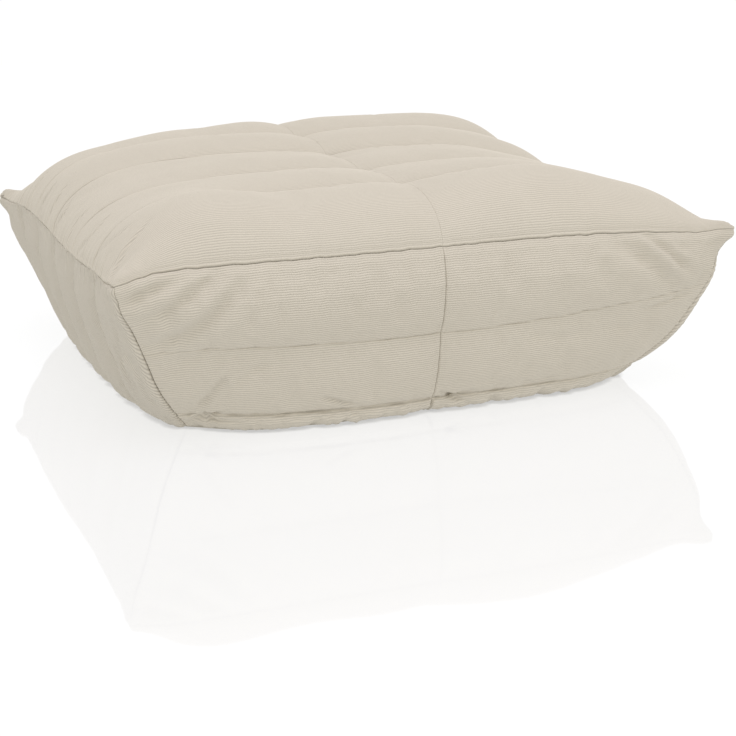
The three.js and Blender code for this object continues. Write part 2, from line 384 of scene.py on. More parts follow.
# No point moves further than the cap. Most of what moves evenly, over a spread of so many points,
# is taken away again.
WRINKLE_CAP, WRINKLE_SPREAD, SWELLING_TAKEN = 7.0, 7, 0.85
WRINKLES_ON_TOP = 0.45


def grid_faces(index, flip=False):
    """Quads over a grid of vertex numbers."""
    a, b = index[:-1, :-1], index[:-1, 1:]
    c, d = index[1:, 1:], index[1:, :-1]
    order = (a, d, c, b) if flip else (a, b, c, d)
    return np.stack(order, -1).reshape(-1, 4)


def cloth_patches():
    across = np.linspace(-1, 1, CLOTH_ACROSS + 1)
    u, v = np.meshgrid(across, across)
    patches = {"top": (u, v, top_surface(u, v))}
    for name, side in SIDES.items():
        s, row = np.meshgrid(across, np.linspace(0, 3, 3 * CLOTH_PER_ROW + 1))
        patches[name] = (s, row, side_surface(name, s, share_at_row(side, s, row)))
    return patches


def sewn(name, a, b):
    """Where a patch is held: its edges, its seam and its stitched lines."""
    def on_line(place):
        return np.abs(place - np.round(place)) < ON_LINE

    if name == "top":
        return on_line(a) | on_line(b * BANDS / 2)
    if name in ("front", "back"):
        return on_line(a) | on_line(b)
    return on_line(a * BANDS / 2) | (b == 0) | (b == 3)


def add_object(name, data):
    thing = bpy.data.objects.new(name, data)
    bpy.context.scene.collection.objects.link(thing)
    return thing


def mesh_object(name, points, faces):
    mesh = bpy.data.meshes.new(name)
    mesh.from_pydata(points.tolist(), [], faces.tolist())
    mesh.update()
    return add_object(name, mesh)


def settle():
    """How far the filling moves the points of each patch."""
    patches = cloth_patches()
    loose = np.concatenate([points.reshape(-1, 3) for _, _, points in patches.values()])
    places = np.round(loose / SAME_PLACE).astype(int)
    _, first, joined = np.unique(places, axis=0, return_index=True, return_inverse=True)
    joined = joined.reshape(-1)
    points = loose[first]
    faces, held, numbers, start = [], set(), {}, 0
    for name, (a, b, grid) in patches.items():
        index = joined[start:start + a.size].reshape(a.shape)
        start += a.size
        numbers[name] = index
        faces.append(grid_faces(index, flip=name in ("front", "right")))
        held.update(index[sewn(name, a, b)].tolist())
    cover = mesh_object("cover_cloth", points, np.concatenate(faces))
    group = cover.vertex_groups.new(name="sewn")
    group.add(sorted(held), 1.0, "REPLACE")
    cloth = cover.modifiers.new("filling", "CLOTH")
    settings = cloth.settings
    for key, value in CLOTH_SETTINGS.items():
        setattr(settings, key, value)
    settings.vertex_group_mass = group.name
    settings.effector_weights.gravity = 0
    cloth.collision_settings.use_collision = False
    cloth.point_cache.frame_start, cloth.point_cache.frame_end = 1, CLOTH_FRAMES
    scene = bpy.context.scene
    for number in range(1, CLOTH_FRAMES + 1):
        scene.frame_set(number)
    shaped = cover.evaluated_get(bpy.context.evaluated_depsgraph_get())
    moved = np.empty(len(points) * 3)
    shaped.data.vertices.foreach_get("co", moved)
    moved = moved.reshape(-1, 3) - points
    scene.frame_set(1)
    mesh = cover.data
    bpy.data.objects.remove(cover)
    bpy.data.meshes.remove(mesh)
    return {name: even_out(moved[index]) for name, index in numbers.items()}


def blur(grid, spread):
    """A grid smoothed both ways by a bell curve, spread over so many points."""
    reach = np.arange(-3 * spread, 3 * spread + 1)
    weights = np.exp(-0.5 * (reach / spread) ** 2)
    weights /= weights.sum()
    margin = (len(reach) // 2, len(reach) // 2)
    for axis in (0, 1):
        padded = np.pad(grid, [margin if k == axis else (0, 0) for k in range(3)], mode="edge")
        length = grid.shape[axis]
        grid = sum(w * np.take(padded, np.arange(length) + k, axis) for k, w in enumerate(weights))
    return grid


def even_out(moved):
    """Keeps the wrinkles of a patch and takes most of its overall swelling away."""
    size = np.linalg.norm(moved, axis=-1, keepdims=True)
    moved = moved * np.minimum(1, WRINKLE_CAP * MM / np.maximum(size, 1e-9))
    wrinkles = moved - SWELLING_TAKEN * blur(moved, WRINKLE_SPREAD)
    from_ends = [np.minimum(np.arange(count), np.arange(count)[::-1]) for count in moved.shape[:2]]
    return wrinkles * smoothstep(np.minimum.outer(*from_ends), 0, 3)[..., None]


def sample(grid, column, row):
    """Values of a grid between its points, by Catmull-Rom curves both ways."""
    first_column = np.floor(column).astype(int)
    first_row = np.floor(row).astype(int)

    def weights(t):
        return (
            -0.5 * t + t**2 - 0.5 * t**3,
            1 - 2.5 * t**2 + 1.5 * t**3,
            0.5 * t + 2 * t**2 - 1.5 * t**3,
            -0.5 * t**2 + 0.5 * t**3,
        )

    across, down = weights(column - first_column), weights(row - first_row)
    total = 0
    for i, row_weight in enumerate(down):
        at_row = np.clip(first_row + i - 1, 0, grid.shape[0] - 1)
        for j, column_weight in enumerate(across):
            at_column = np.clip(first_column + j - 1, 0, grid.shape[1] - 1)
            total = total + (row_weight * column_weight)[..., None] * grid[at_row, at_column]
    return total


# ==== Relief placed one by one: folds, stitched lines, and seams with the puckers beside them ====
# Folds by their patches: a fold's half width, its height or, below 0, depth, and its line through
# places on the patch: x and z on the front and back, y and z on the left and right, x and y on top.
FOLDS = {"base": []}
FOLDS["front"] = [
    (9, -4.8, (-334, 200), (-362, 190), (-388, 178)),
    (7, 2.0, (-318, 214), (-346, 206), (-378, 197)),
    (9, -5.2, (-281, 205), (-307, 187), (-340, 166), (-366, 158)),
    (7, 2.0, (-292, 206), (-320, 196), (-350, 178)),
    (11, -6.8, (-252, 190), (-290, 155), (-318, 134), (-345, 124), (-368, 119)),
    (7, 2.2, (-262, 200), (-296, 172), (-326, 150), (-352, 140)),
    (9, 2.2, (-232, 172), (-270, 142), (-306, 118), (-336, 110)),
    (13, -7.0, (240, 206), (282, 180), (316, 152), (344, 136)),
    (8, 3.0, (262, 216), (300, 190), (332, 162)),
    (9, -5.4, (280, 214), (314, 190), (352, 158)),
    (7, 2.0, (300, 205), (330, 186), (352, 176)),
    (7, -5.0, (-296, 32), (-279, 58), (-264, 84)),
    (8, -2.6, (-262, 60), (-241, 83), (-214, 94)),
    (4, -4.4, (-304, 24), (-276, 17), (-246, 15)),
    (4, -4.2, (-300, 10), (-282, 22), (-262, 30)),
    (4, -3.6, (-286, 30), (-268, 10)),
    (4, -4.2, (-150, 43), (-128, 34), (-104, 26)),
    (5, -3.4, (-112, 17), (-98, 13)),
    (4, -4.6, (8, 30), (31, 19), (56, 10)),
    (5, -2.4, (10, 12), (36, 24), (60, 26)),
    (5, -3.4, (78, 16), (96, 11)),
    (5, -2.2, (106, 34), (140, 28), (184, 33)),
    (10, -1.2, (-60, 200), (-44, 178), (-40, 150)),
    (9, -1.8, (120, 96), (170, 88), (214, 92)),
    (8, -1.8, (236, 96), (270, 88), (300, 96)),
    (4, -2.6, (292, 112), (326, 121), (362, 131)),
]
FOLDS["left"] = [
    (6, -2.6, (-388, 176), (-356, 150), (-330, 118), (-308, 84), (-292, 52)),
    (5, -3.0, (-326, 126), (-298, 89), (-288, 58), (-269, 36)),
    (5, 2.0, (-340, 118), (-316, 84), (-300, 50), (-284, 24)),
    (4, -2.6, (-342, 92), (-326, 62), (-308, 30)),
    (8, -2.6, (300, 196), (272, 178), (252, 150)),
    (8, -2.2, (262, 190), (236, 168), (224, 140)),
    (9, -1.8, (-262, 178), (-250, 140), (-246, 100)),
]
FOLDS["right"] = [
    (9, -2.6, (-330, 190), (-300, 160), (-280, 120)),
    (9, -3.0, (346, 190), (318, 160), (304, 120)),
    (8, -2.2, (300, 184), (280, 150)),
]
FOLDS["back"] = [
    (9, -3.6, (-350, 186), (-318, 160), (-296, 130)),
    (10, -3.2, (-300, 190), (-262, 158), (-244, 120)),
    (9, -3.8, (352, 192), (320, 164), (292, 126)),
    (10, -3.0, (306, 196), (270, 160), (250, 128)),
]
FOLDS["top"] = [
    (3, -3.4, (-394, -366), (-386, -354), (-372, -346)),
    (3, -2.4, (-390, -338), (-376, -341), (-350, -333), (-338, -326)),
    (3, -2.0, (-388, -266), (-376, -294), (-352, -310)),
    (3, -3.4, (-393, -166), (-383, -186), (-370, -190), (-356, -182)),
    (3, -2.4, (-392, -98), (-378, -92), (-362, -98)),
    (3, -3.4, (-393, -12), (-381, -24), (-367, -10)),
    (3, -2.6, (-393, 44), (-378, 36), (-362, 42)),
    (3, -3.2, (-393, 112), (-382, 97), (-370, 92)),
    (3, -2.4, (-390, 196), (-370, 190), (-356, 196)),
    (3, -2.6, (-390, 318), (-362, 314), (-330, 326)),
    (12, 4.0, (-384, -384), (-370, -374), (-352, -366)),
]
# A fold is reckoned out to so many half widths, tapers to its ends, and dips beside itself.
FOLD_REACH, FOLD_TAPER, FOLD_DIP = 4, (-0.25, 0.35), 0.7
# The quilting lines run on down the left and right flanks of the top as narrow creases.
FLANK_CREASE = Named(depth=2.4, width=1.9, span=(0.80, 0.92))
# On the left flank the lines of the top are faint, and wander a little.
FLANK_LINE = Named(share=0.15, wander=2.5, lengths=(90, 140), seed=70, span=(0.4, 0.8))
# Stitched lines: the quilting, and the level lines of the front and the back.
STITCH_DEPTH = dict(quilt=1.8, mid=1.0, low=3.0)
STITCH_WIDTH = dict(quilt=1.5, mid=1.3, low=1.9)
QUILT_PUCKERS, QUILT_REACH = 0.5, 6.0
# The edges draw in, so the quilting lines are a little closer than even sixths of the width. The
# sides slant, so their cloth is a little longer than they are high.
QUILT_SPREAD, SIDE_SLANT = 0.96, 1.05
SIDE_QUILT_SEED = 10
LEVEL_PUCKERS, LEVEL_REACH = 0.6, 7.0
# The level lines wobble, and are deeper in some places than others.
LEVEL_SEEDS = dict(mid=20, low=21)
LEVEL_WOBBLE, WOBBLE_SEED, WOBBLE_LENGTHS = 1.7, 2, (41, 67, 130)
LEVEL_FADING = Named(mean=0.8, height=0.35, seed=4, lengths=(37, 61, 97), low_share=0.45, low_at=0.8)
# The band under the lowest line bulges a little, and is gathered.
LOW_BULGE = Named(height=3.5, gathers=1.1, slant=0.35, seed=90, lengths=(13, 23, 41), fullness=0.8)
SWELLS = (11.0, 17.0, 29.0)
FINE_SWELLS = (6.0, 9.0, 15.0)
LONG_SWELLS = (17.0, 29.0, 47.0)

# The ways an edge is sewn. round: of the edge as it turns in. roll: height of the rolled seam
# allowance. puckers, reach: height of the puckers and how far they fade. cheek: of the filling.
SEAMS = table(
    ("round", "roll", "puckers", "reach", "seed", "swells", "cheek"),
    {
        "front": (0.45, 0.0, 0.35, 7, 30, SWELLS, 0),
        "front_roll": (0.45, 0.5, 0.35, 7, 30, SWELLS, 0),
        "back": (1.0, 0.0, 0.6, 7, 32, SWELLS, 0),
        "left": (0.8, 0.4, 2.0, 13, 34, SWELLS, 0),
        "right": (0.8, 0.4, 1.6, 12, 36, SWELLS, 0),
        "corner": (3.4, 0.0, 1.8, 5, 38, FINE_SWELLS, 0),
        "corner_side": (3.4, 0.0, 1.8, 5, 38, FINE_SWELLS, 4),
        "centre": (1.1, 0.5, 0.4, 5, 40, SWELLS, 0),
        "hidden": (0.4, 0.0, 0.5, 8, 42, SWELLS, 0),
        "hem": (4.0, 0.0, 2.4, 17, 44, LONG_SWELLS, 0),
        "sole": (1.5, 0.0, 0.0, 9, 44, SWELLS, 0),
    },
)
ROLL_AT, ROLL_WIDTH, ROLL_STITCH_AT, ROLL_STITCH_WIDTH = 2.4, 1.5, 5.2, 0.9
CHEEK_AT = 13.0
# The hem is lifted off the floor in places, by up to this much.
HEM_LIFT = Named(height=3.2, reach=9.0, mean=0.35, waves=0.65, seed=50, lengths=(23, 41, 77))
# How far in from a panel's edges its relief is in full.
RELIEF_FADE = 4
PATCH_AXES = {"top": (0, 1), "front": (0, 2), "back": (0, 2), "left": (1, 2), "right": (1, 2)}


def fold_relief(patch, points):
    """Height of the listed folds over each point of a patch, in millimetres."""
    height = np.zeros(points.shape[:2])
    for width, rise, *line in FOLDS[patch]:
        flat = points[..., list(PATCH_AXES[patch])] / MM
        line = np.array(line, float)
        reach = FOLD_REACH * width
        near = np.all((flat > line.min(0) - reach) & (flat < line.max(0) + reach), axis=-1)
        spots = flat[near]
        lengths = np.linalg.norm(np.diff(line, axis=0), axis=1)
        starts = np.concatenate([[0], np.cumsum(lengths)])
        best = np.full(len(spots), np.inf)
        along = np.zeros(len(spots))
        for k, length in enumerate(lengths):
            direction = (line[k + 1] - line[k]) / length
            t = np.clip((spots - line[k]) @ direction, 0, length)
            away = np.linalg.norm(spots - line[k] - t[:, None] * direction, axis=1)
            closer = away < best
            best[closer] = away[closer]
            along[closer] = (t + starts[k])[closer]
        share = along / starts[-1]
        taper = smoothstep(share, *FOLD_TAPER) * smoothstep(1 - share, *FOLD_TAPER)
        across = (best / width) ** 2
        height[near] += rise * taper * (1 - FOLD_DIP * across) * np.exp(-across)
    return height


def beside(away, reach):
    """1 just beside a line, 0 on it and far from it."""
    return np.exp(-np.abs(away) / reach) * (1 - crease(away, 2))


def quilt_relief(patch, a, b):
    """The five quilting lines of the top, or of a side that they run on down."""
    top = patch == "top"
    across, along = (b, a * HALF_WIDTH) if top else (a, b * SIDE_CLOTH)
    height = np.zeros_like(a)
    for line in range(1, BANDS):
        away = (across - (line / BANDS * 2 - 1)) * HALF_WIDTH * QUILT_SPREAD
        seed = line + (0 if top else SIDE_QUILT_SEED)
        faint = 1
        if top:
            wander = wave(along, line + FLANK_LINE.seed, FLANK_LINE.lengths)
            on_flank = smoothstep(-a, *FLANK_LINE.span)
            away = away + FLANK_LINE.wander * wander * on_flank
            off_flank = smoothstep(a, *FLANK_GROOVE.span)
            faint = lerp(FLANK_LINE.share, 1, off_flank)
        height = height - faint * STITCH_DEPTH["quilt"] * crease(away, STITCH_WIDTH["quilt"])
        height = height + QUILT_PUCKERS * beside(away, QUILT_REACH) * wave(along, seed, SWELLS)
        if top:
            flank = smoothstep(np.abs(a), *FLANK_CREASE.span)
            height = height - FLANK_CREASE.depth * flank * crease(away, FLANK_CREASE.width)
    return height


def level_relief(patch, a, b):
    """The gathered band at the foot of a side, and the level lines of the front and the back."""
    mid, low = level_lines(SIDES[patch], a)
    tall = edge_height(a, np.full_like(a, -1.0)) * SIDE_SLANT
    along = a * HALF_WIDTH
    under = np.clip(b / low, 0, 1)
    gathers = wave(along + LOW_BULGE.slant * b * tall, LOW_BULGE.seed, LOW_BULGE.lengths)
    bulge = LOW_BULGE.height * (1 - a**BULGE_POWER) + LOW_BULGE.gathers * gathers
    height = bulge * np.sin(np.pi * under) ** LOW_BULGE.fullness
    if patch not in ("front", "back"):
        return height
    for name, level in (("mid", mid), ("low", low)):
        seed = LEVEL_SEEDS[name]
        away = (b - level) * tall + LEVEL_WOBBLE * wave(along, seed + WOBBLE_SEED, WOBBLE_LENGTHS)
        uneven = wave(along, seed + LEVEL_FADING.seed, LEVEL_FADING.lengths)
        fading = LEVEL_FADING.mean + LEVEL_FADING.height * uneven
        if name == "low":
            fading = fading * lerp(1, LEVEL_FADING.low_share, smoothstep(a, 0, LEVEL_FADING.low_at))
        height = height - fading * STITCH_DEPTH[name] * crease(away, STITCH_WIDTH[name])
        height = height + LEVEL_PUCKERS * beside(away, LEVEL_REACH) * wave(along, seed, SWELLS)
    return height


def line_relief(patch, a, b):
    """Height of the stitched lines and of the puckers beside them, in millimetres."""
    height = np.zeros_like(a)
    if patch in ("top", "left", "right"):
        height = height + quilt_relief(patch, a, b)
    if patch in SIDES:
        height = height + level_relief(patch, a, b)
    return height


def seam_relief(seam, away, along):
    """Height of a seam's roll and puckers, in millimetres; away and along are in metres."""
    away, along = away / MM, along / MM
    roll = crease(away - ROLL_AT, ROLL_WIDTH) - 0.5 * crease(away - ROLL_STITCH_AT, ROLL_STITCH_WIDTH)
    pucker = wave(along, seam["seed"], seam["swells"]) * np.exp(-away / seam["reach"])
    cheek = away / CHEEK_AT * np.exp(1 - away / CHEEK_AT)
    return seam["roll"] * roll + seam["puckers"] * pucker * smoothstep(away, 0, 3) + seam["cheek"] * cheek


# ==== Panels: real ribs, edges turned in at the seams, and a plain inner face ====
# a and b: the stretch of its patch that a panel covers. stacked: whether rows of points draw its
# ribs. cross: spacing of the points along the ribs, in millimetres. ribs: their height as a share
# of RIB_HEIGHT. seams: how it is sewn at its lowest and highest a and its lowest and highest b.
# The ribs of the left and right sides stand upright and end on the slanting corner seams, so these
# panels aren't stacked, and the material draws their ribs by a phase at each point.
WHOLE, LOWER, UPPER, RISE = (-1, 1), (-1, 0), (0, 1), (0, 1)
PANELS = table(
    ("patch", "a", "b", "stacked", "cross", "ribs", "seams"),
    {
        "top_left": ("top", LOWER, WHOLE, True, 7.0, 0.6, ("left", "hidden", "front_roll", "back")),
        "top_right": ("top", UPPER, WHOLE, True, 7.0, 0.6, ("hidden", "right", "front_roll", "back")),
        "front_left": ("front", LOWER, RISE, True, 4.5, 1, ("corner", "centre", "hem", "front")),
        "front_right": ("front", UPPER, RISE, True, 4.5, 1, ("centre", "corner", "hem", "front")),
        "back_left": ("back", LOWER, RISE, True, 4.5, 1, ("corner", "centre", "hem", "back")),
        "back_right": ("back", UPPER, RISE, True, 4.5, 1, ("centre", "corner", "hem", "back")),
        "side_left": ("left", WHOLE, RISE, False, 3.0, 1, ("corner_side", "corner_side", "hem", "left")),
        "side_right": ("right", WHOLE, RISE, False, 3.0, 1, ("corner_side", "corner_side", "hem", "right")),
        "base": ("base", WHOLE, WHOLE, True, 14.0, 1, ("sole", "sole", "sole", "sole")),
    },
)
# How far in the inner face of a panel starts, and how far apart its points are.
INNER_MARGIN, INNER_SPACING = 9.0, 16.0
# The core, towards which edges are turned in.
CORE = Named(half=300, low=60, high=150, middle=120)
# Lengths of cloth are the mean of those at these shares of a panel.
ARC_AT, ARC_STEPS = np.array([0.2, 0.5, 0.8]), 600
# Where another edge is this near, an edge is rounded less, down to this share.
NEAR_EDGE, NEAR_EDGE_ROUND = 15, 0.35
# The ribs are flattened by the gathers up to this height above the hem.
HEM_RIBS_UP_TO = 30
# On the map, the outer face has the upper part and the inner face a strip below it.
UV_ACROSS, UV_OUTER, UV_INNER = (0.01, 0.99), (0.06, 0.99), (0.01, 0.04)


def arc_table(surface, fixed, stretch, along_a):
    """Places along one direction and the mean length of cloth up to each of them."""
    steps = np.linspace(*stretch, ARC_STEPS)
    lengths = 0
    for value in fixed:
        level = np.full_like(steps, value)
        points = surface(steps, level) if along_a else surface(level, steps)
        parts = np.linalg.norm(np.diff(points, axis=0), axis=1)
        lengths = lengths + np.concatenate([[0], np.cumsum(parts)])
    return steps, lengths / len(fixed)


def seam_gap(name):
    return (CORNER_GAP if name.startswith("corner") else SEAM_GAP) * MM


def stacked_lengths(total, seams):
    """Lengths at the rows of points that draw the ribs, and each row's height on its rib."""
    first, last = (seam_gap(name) for name in seams)
    ribs = max(1, round(total / (RIB_PITCH * MM)))
    rows = np.arange(ribs * RIB_ROWS + 1)
    lengths = first + (total - first - last) * rows / rows[-1]
    return lengths, RIB_SHAPE[rows % RIB_ROWS]


def cross_lengths(total, seams, spacing):
    """Lengths at the points along a rib, closer together next to the seams."""
    first, last = (seam_gap(name) + EDGE_STEPS * MM for name in seams)
    span = total - first[-1] - last[-1]
    middle = np.linspace(first[-1], total - last[-1], max(2, round(span / (spacing * MM)) + 1))
    return np.concatenate([first[:-1], middle, total - last[-2::-1]])


def inward(points):
    """Which way is in from a point: towards a box in the footstool's core."""
    half, low, high = CORE.half * MM, CORE.low * MM, CORE.high * MM
    x, y, z = np.moveaxis(points, -1, 0)
    core = np.stack([np.clip(x, -half, half), np.clip(y, -half, half), np.clip(z, low, high)], -1)
    way = core - points
    return way / np.maximum(np.linalg.norm(way, axis=-1, keepdims=True), 1e-9)


def grid_normals(points):
    """Normals that face out, and whether quads in the grid's own order do too."""
    normals = np.cross(np.gradient(points, axis=1), np.gradient(points, axis=0))
    normals /= np.maximum(np.linalg.norm(normals, axis=-1, keepdims=True), 1e-12)
    ahead = np.sum(normals * (points - np.array([0, 0, CORE.middle * MM]))) > 0
    return (normals if ahead else -normals), ahead


def edge_distances(points):
    """Distance of each point from the panel's four edges: lowest and highest a, then b."""
    distances = []
    for axis in (1, 0):
        parts = np.linalg.norm(np.diff(points, axis=axis), axis=-1)
        start = np.concatenate([np.zeros_like(np.take(parts, [0], axis)), np.cumsum(parts, axis)], axis)
        distances += [start + SEAM_GAP * MM, np.take(start, [-1], axis) - start + SEAM_GAP * MM]
    return distances


def stitch(outer, inner):
    """Triangles between two lines of vertex numbers that run the same way."""
    faces, i, j = [], 0, 0
    while i < len(outer) - 1 or j < len(inner) - 1:
        outer_next = (i + 1) / (len(outer) - 1) if i < len(outer) - 1 else 2
        inner_next = (j + 1) / (len(inner) - 1) if j < len(inner) - 1 else 2
        if outer_next <= inner_next:
            faces.append((outer[i + 1], outer[i], inner[j]))
            i += 1
        else:
            faces.append((inner[j], inner[j + 1], outer[i]))
            j += 1
    return faces


def rim(index):
    """The four sides of a grid of vertex numbers, each as a line, one way round."""
    return index[0, :], index[:, -1], index[-1, ::-1], index[::-1, 0]


def panel_grid(plan):
    """Places (a, b) of a panel's points on its patch, and each point's height on its rib."""
    surface = SURFACES[plan["patch"]]
    a_steps, a_arc = arc_table(surface, lerp(*plan["b"], ARC_AT), plan["a"], True)
    b_steps, b_arc = arc_table(surface, lerp(*plan["a"], ARC_AT), plan["b"], False)
    a_lengths = cross_lengths(a_arc[-1], plan["seams"][:2], plan["cross"])
    if plan["stacked"]:
        b_lengths, shape = stacked_lengths(b_arc[-1], plan["seams"][2:])
    else:
        b_lengths = cross_lengths(b_arc[-1], plan["seams"][2:], plan["cross"])
        shape = np.zeros(len(b_lengths))
    rib = np.broadcast_to(shape[:, None], (len(b_lengths), len(a_lengths)))
    a, b = np.meshgrid(np.interp(a_lengths, a_arc, a_steps), np.interp(b_lengths, b_arc, b_steps))
    return a, b, rib


def cloth_moved(patch, a, b, relief):
    """How far the simulation moves the points of a patch."""
    row = (b + 1) / 2 * CLOTH_ACROSS
    if patch in SIDES:
        row = row_at_share(SIDES[patch], a, b) * CLOTH_PER_ROW
    share = WRINKLES_ON_TOP if patch == "top" else 1
    return share * sample(relief[patch], (a + 1) / 2 * CLOTH_ACROSS, row)


def hem_lift(along, from_hem, others):
    lift = HEM_LIFT.mean + HEM_LIFT.waves * wave(along / MM, HEM_LIFT.seed, HEM_LIFT.lengths)
    scallop = HEM_LIFT.height * np.clip(lift, 0, 1.2)
    return scallop * np.exp(-from_hem / (HEM_LIFT.reach * MM)) * smoothstep(others, 0, HEM_LIFT.reach * MM)


def tuck_in(shaped):
    """A grid of points with its edges carried on, and tucked in towards the core."""
    count = len(TUCKS)
    full = np.pad(shaped, ((count, count), (count, count), (0, 0)), mode="edge")
    depth = np.zeros(full.shape[:2])
    for k, tuck in enumerate(TUCKS):
        ring = count - 1 - k
        for line in (np.s_[ring, :], np.s_[-1 - ring, :], np.s_[:, ring], np.s_[:, -1 - ring]):
            depth[line] = np.maximum(depth[line], tuck * MM)
    full = full + inward(full) * depth[..., None]
    full[..., 2] = np.maximum(full[..., 2], 0)
    return full


def build_panel(name, plan, relief):
    patch = plan["patch"]
    a, b, rib = panel_grid(plan)
    points = SURFACES[patch](a, b)
    if relief and patch in relief:
        points = points + cloth_moved(patch, a, b, relief)
    normals, ahead = grid_normals(points)
    distances = edge_distances(points)
    from_edge = np.minimum.reduce(distances)
    fade = RELIEF_FADE * MM
    lift = (line_relief(patch, a, b) + fold_relief(patch, points)) * smoothstep(from_edge, 0, fade)
    turn = 0
    for k, seam_name in enumerate(plan["seams"]):
        seam = SEAMS[seam_name]
        upright = SIDE_CLOTH if patch in SIDES else HALF_WIDTH
        along = a * HALF_WIDTH * MM if k > 1 else b * upright * MM
        others = np.minimum.reduce([away for j, away in enumerate(distances) if j != k])
        lift = lift + seam_relief(seam, distances[k], along) * smoothstep(others, 0, fade)
        short = np.clip(1 - distances[k] / (seam["round"] * MM), 0, 1)
        open_share = lerp(NEAR_EDGE_ROUND, 1, smoothstep(others, 0, NEAR_EDGE * MM))
        turn = np.maximum(turn, open_share * seam["round"] * (1 - np.sqrt(1 - short**2)))
        if seam_name == "hem":
            points = points + np.array([0, 0, MM]) * hem_lift(along, distances[k], others)[..., None]
    clear = np.ones_like(a)
    if patch in SIDES:
        clear = lerp(RIB_AT_HEM, 1, smoothstep(distances[2], 0, HEM_RIBS_UP_TO * MM))
    drawn = np.zeros_like(a) if plan["stacked"] else clear
    rib = clear * rib + (1 - clear) * RIB_MEAN
    if patch != "base":
        lift = lift + rib * RIB_HEIGHT * plan["ribs"] * smoothstep(from_edge, -1 * MM, 3 * MM)
    shaped = points + normals * (lift * MM)[..., None] + inward(points) * (turn * MM)[..., None]
    inner = [np.unique(np.linspace(*span).astype(int)) for span in inner_spans(points)]
    inside = (points - normals * PADDING * MM)[np.ix_(*inner)]
    inside[..., 2] = np.maximum(inside[..., 2], PADDING * MM)

    full = tuck_in(shaped)
    tones = {"rib": rib, "rib_phase": points[..., 1] / (RIB_PITCH * MM), "rib_drawn": drawn}
    tones = {key: np.pad(tone, len(TUCKS), mode="edge") for key, tone in tones.items()}
    if patch == "base":
        full[..., 2] += (1 - tones["rib"]) * RIB_HEIGHT * MM
    return panel_mesh(name, full, inside, tones, not ahead)


def inner_spans(points):
    """First, last and how many of a panel's rows and columns its inner face keeps."""
    spans = []
    for axis in (0, 1):
        parts = np.linalg.norm(np.diff(points, axis=axis), axis=-1).mean(1 - axis)
        lengths = np.concatenate([[0], np.cumsum(parts)])
        first = int(np.searchsorted(lengths, INNER_MARGIN * MM))
        last = int(np.searchsorted(lengths, lengths[-1] - INNER_MARGIN * MM)) - 1
        number = max(3, round((lengths[last] - lengths[first]) / (INNER_SPACING * MM)))
        spans.append((first, last, number))
    return spans


def unit_grid(shape, across, down):
    """A grid of places between the given ends, as rows of (across, down)."""
    grid = np.meshgrid(np.linspace(*across, shape[1]), np.linspace(*down, shape[0]))
    return np.stack(grid, -1).reshape(-1, 2)


def panel_mesh(name, outer, inside, tones, flip):
    """A panel as one closed mesh: its outer face, its inner face and the strips between them."""
    outer_index = np.arange(outer[..., 0].size).reshape(outer.shape[:2])
    inner_index = outer_index.size + np.arange(inside[..., 0].size).reshape(inside.shape[:2])
    quads = np.concatenate([grid_faces(outer_index, flip), grid_faces(inner_index, not flip)])
    pairs = zip(rim(outer_index), rim(inner_index))
    triangles = np.array([face for pair in pairs for face in stitch(*pair)])
    if flip:
        triangles = triangles[:, ::-1]
    points = np.concatenate([outer.reshape(-1, 3), inside.reshape(-1, 3)])
    mesh = bpy.data.meshes.new(name)
    corners = np.concatenate([quads.reshape(-1), triangles.reshape(-1)]).astype(np.int32)
    starts = np.concatenate([np.arange(len(quads)) * 4, len(quads) * 4 + np.arange(len(triangles)) * 3])
    mesh.vertices.add(len(points))
    mesh.vertices.foreach_set("co", points.astype(np.float32).ravel())
    mesh.loops.add(len(corners))
    mesh.loops.foreach_set("vertex_index", corners)
    mesh.polygons.add(len(starts))
    mesh.polygons.foreach_set("loop_start", starts.astype(np.int32))
    mesh.polygons.foreach_set("use_smooth", np.ones(len(starts), bool))
    mesh.update(calc_edges=True)
    mesh.validate()

    for key, tone in tones.items():
        values = np.concatenate([tone.ravel(), np.zeros(inner_index.size)])
        mesh.attributes.new(key, "FLOAT", "POINT").data.foreach_set("value", values.astype(np.float32))

    outer_places = unit_grid(outer.shape, UV_ACROSS, UV_OUTER)
    places = np.concatenate([outer_places, unit_grid(inside.shape, UV_ACROSS, UV_INNER)])
    unwrapped = mesh.uv_layers.new(name="OFBake")
    unwrapped.data.foreach_set("uv", places[corners].astype(np.float32).ravel())
    return add_object(name, mesh)


# ==== Material ====
# pale, deep: its two shades, in soft patches. valley: how dark the painted shade between two ribs
# makes it. flecks: how much its yarns vary.
FABRIC = Named(
    pale=(0.60, 0.555, 0.465, 1), deep=(0.565, 0.522, 0.436, 1), valley=0.74, flecks=(0.95, 1.04),
    patch_scale=14, yarn_scale=900, yarn_height=0.0003, yarn_strength=0.35,
)


def fill_sockets(tree, node, inputs):
    """Sets the sockets of a node to values, or feeds them from other nodes' outputs."""
    for key, value in inputs.items():
        if isinstance(value, bpy.types.NodeSocket):
            tree.links.new(value, node.inputs[key])
        else:
            node.inputs[key].default_value = value


def add_node(tree, kind, output, inputs, **settings):
    """The named output of a new shader node."""
    node = tree.nodes.new("ShaderNode" + kind)
    for key, value in settings.items():
        setattr(node, key, value)
    fill_sockets(tree, node, inputs)
    return node.outputs[output]


def new_material(name):
    material = bpy.data.materials.new(name)
    material.use_nodes = True
    return material, material.node_tree


